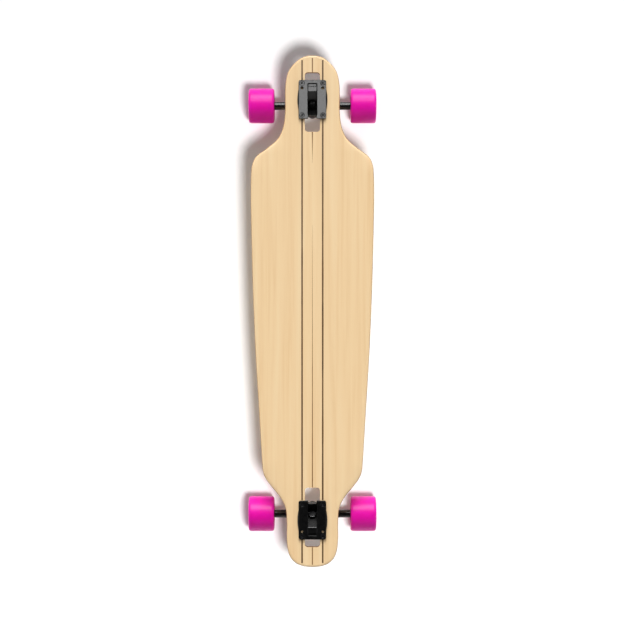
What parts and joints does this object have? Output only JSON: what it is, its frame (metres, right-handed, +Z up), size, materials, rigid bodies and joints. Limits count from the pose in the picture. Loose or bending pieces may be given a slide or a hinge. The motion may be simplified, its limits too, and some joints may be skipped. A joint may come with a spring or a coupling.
{
  "type": "longboard skateboard",
  "caption": "Drop-through longboard: bare maple deck with pinstripes, black reverse-kingpin trucks set in cutouts, and wide magenta urethane wheels on ball bearings.",
  "frame": {"origin": "on the floor under the wheels, below the middle of the deck's length and width", "axes": "+Y towards the nose, +X to the rider's right when facing the nose, +Z up"},
  "size_m": [0.258, 1.016, 0.108],
  "materials": {
    "deck_maple": "clear satin lacquer over maple veneer, thin dark pinstripes",
    "black_casting": "cast aluminium with a smooth black coat",
    "magenta_urethane": "glossy poured urethane",
    "black_urethane": "matt moulded urethane",
    "white_core": "moulded nylon",
    "zinc_steel": "bright zinc-plated steel",
    "black_steel": "black oxide steel"
  },
  "bodies": {
    "deck": {"deck": "deck_maple", "front_baseplate": "black_casting", "front_pivot_cup": "black_urethane", "front_kingpin": "black_steel", "front_kingpin_nut": "zinc_steel", "front_board_bushing": "magenta_urethane", "front_road_bushing": "magenta_urethane", "front_road_washer": "zinc_steel", "front_bolt_left_outer": "black_steel", "front_nut_left_outer": "black_steel", "front_bolt_left_inner": "black_steel", "front_nut_left_inner": "black_steel", "front_bolt_right_outer": "black_steel", "front_nut_right_outer": "black_steel", "front_bolt_right_inner": "black_steel", "front_nut_right_inner": "black_steel", "rear_baseplate": "black_casting", "rear_pivot_cup": "black_urethane", "rear_kingpin": "black_steel", "rear_kingpin_nut": "zinc_steel", "rear_board_bushing": "magenta_urethane", "rear_road_bushing": "magenta_urethane", "rear_road_washer": "zinc_steel", "rear_bolt_left_outer": "black_steel", "rear_nut_left_outer": "black_steel", "rear_bolt_left_inner": "black_steel", "rear_nut_left_inner": "black_steel", "rear_bolt_right_outer": "black_steel", "rear_nut_right_outer": "black_steel", "rear_bolt_right_inner": "black_steel", "rear_nut_right_inner": "black_steel"},
    "front_hanger": {"front_hanger": "black_casting", "front_axle": "zinc_steel", "front_left_spacer_and_inner_races": "zinc_steel", "front_left_axle_nut": "zinc_steel", "front_right_spacer_and_inner_races": "zinc_steel", "front_right_axle_nut": "zinc_steel"},
    "front_left_wheel": {"front_left_wheel_tyre": "magenta_urethane", "front_left_wheel_core": "white_core", "front_left_outboard_bearing": "zinc_steel", "front_left_inboard_bearing": "zinc_steel"},
    "front_right_wheel": {"front_right_wheel_tyre": "magenta_urethane", "front_right_wheel_core": "white_core", "front_right_outboard_bearing": "zinc_steel", "front_right_inboard_bearing": "zinc_steel"},
    "rear_hanger": {"rear_hanger": "black_casting", "rear_axle": "zinc_steel", "rear_left_spacer_and_inner_races": "zinc_steel", "rear_left_axle_nut": "zinc_steel", "rear_right_spacer_and_inner_races": "zinc_steel", "rear_right_axle_nut": "zinc_steel"},
    "rear_left_wheel": {"rear_left_wheel_tyre": "magenta_urethane", "rear_left_wheel_core": "white_core", "rear_left_outboard_bearing": "zinc_steel", "rear_left_inboard_bearing": "zinc_steel"},
    "rear_right_wheel": {"rear_right_wheel_tyre": "magenta_urethane", "rear_right_wheel_core": "white_core", "rear_right_outboard_bearing": "zinc_steel", "rear_right_inboard_bearing": "zinc_steel"}
  },
  "joints": [
    {"name": "front_steer", "type": "hinge", "parent": "deck", "child": "front_hanger", "pos_m": [0, 0.43751, 0.05975], "axis": [0, 0.7071, 0.7071], "range_deg": [-15, 15], "stiffness_Nm_per_rad": 40, "deforming": ["front_board_bushing", "front_road_bushing"]},
    {"name": "front_left_wheel_spin", "type": "hinge", "parent": "front_hanger", "child": "front_left_wheel", "pos_m": [-0.103, 0.417, 0.035], "axis": [1, 0, 0], "continuous": true},
    {"name": "front_right_wheel_spin", "type": "hinge", "parent": "front_hanger", "child": "front_right_wheel", "pos_m": [0.103, 0.417, 0.035], "axis": [1, 0, 0], "continuous": true},
    {"name": "rear_steer", "type": "hinge", "parent": "deck", "child": "rear_hanger", "pos_m": [0, -0.43151, 0.05975], "axis": [0, -0.7071, 0.7071], "range_deg": [-15, 15], "stiffness_Nm_per_rad": 40, "deforming": ["rear_board_bushing", "rear_road_bushing"]},
    {"name": "rear_left_wheel_spin", "type": "hinge", "parent": "rear_hanger", "child": "rear_left_wheel", "pos_m": [-0.103, -0.411, 0.035], "axis": [1, 0, 0], "continuous": true},
    {"name": "rear_right_wheel_spin", "type": "hinge", "parent": "rear_hanger", "child": "rear_right_wheel", "pos_m": [0.103, -0.411, 0.035], "axis": [1, 0, 0], "continuous": true}
  ]
}
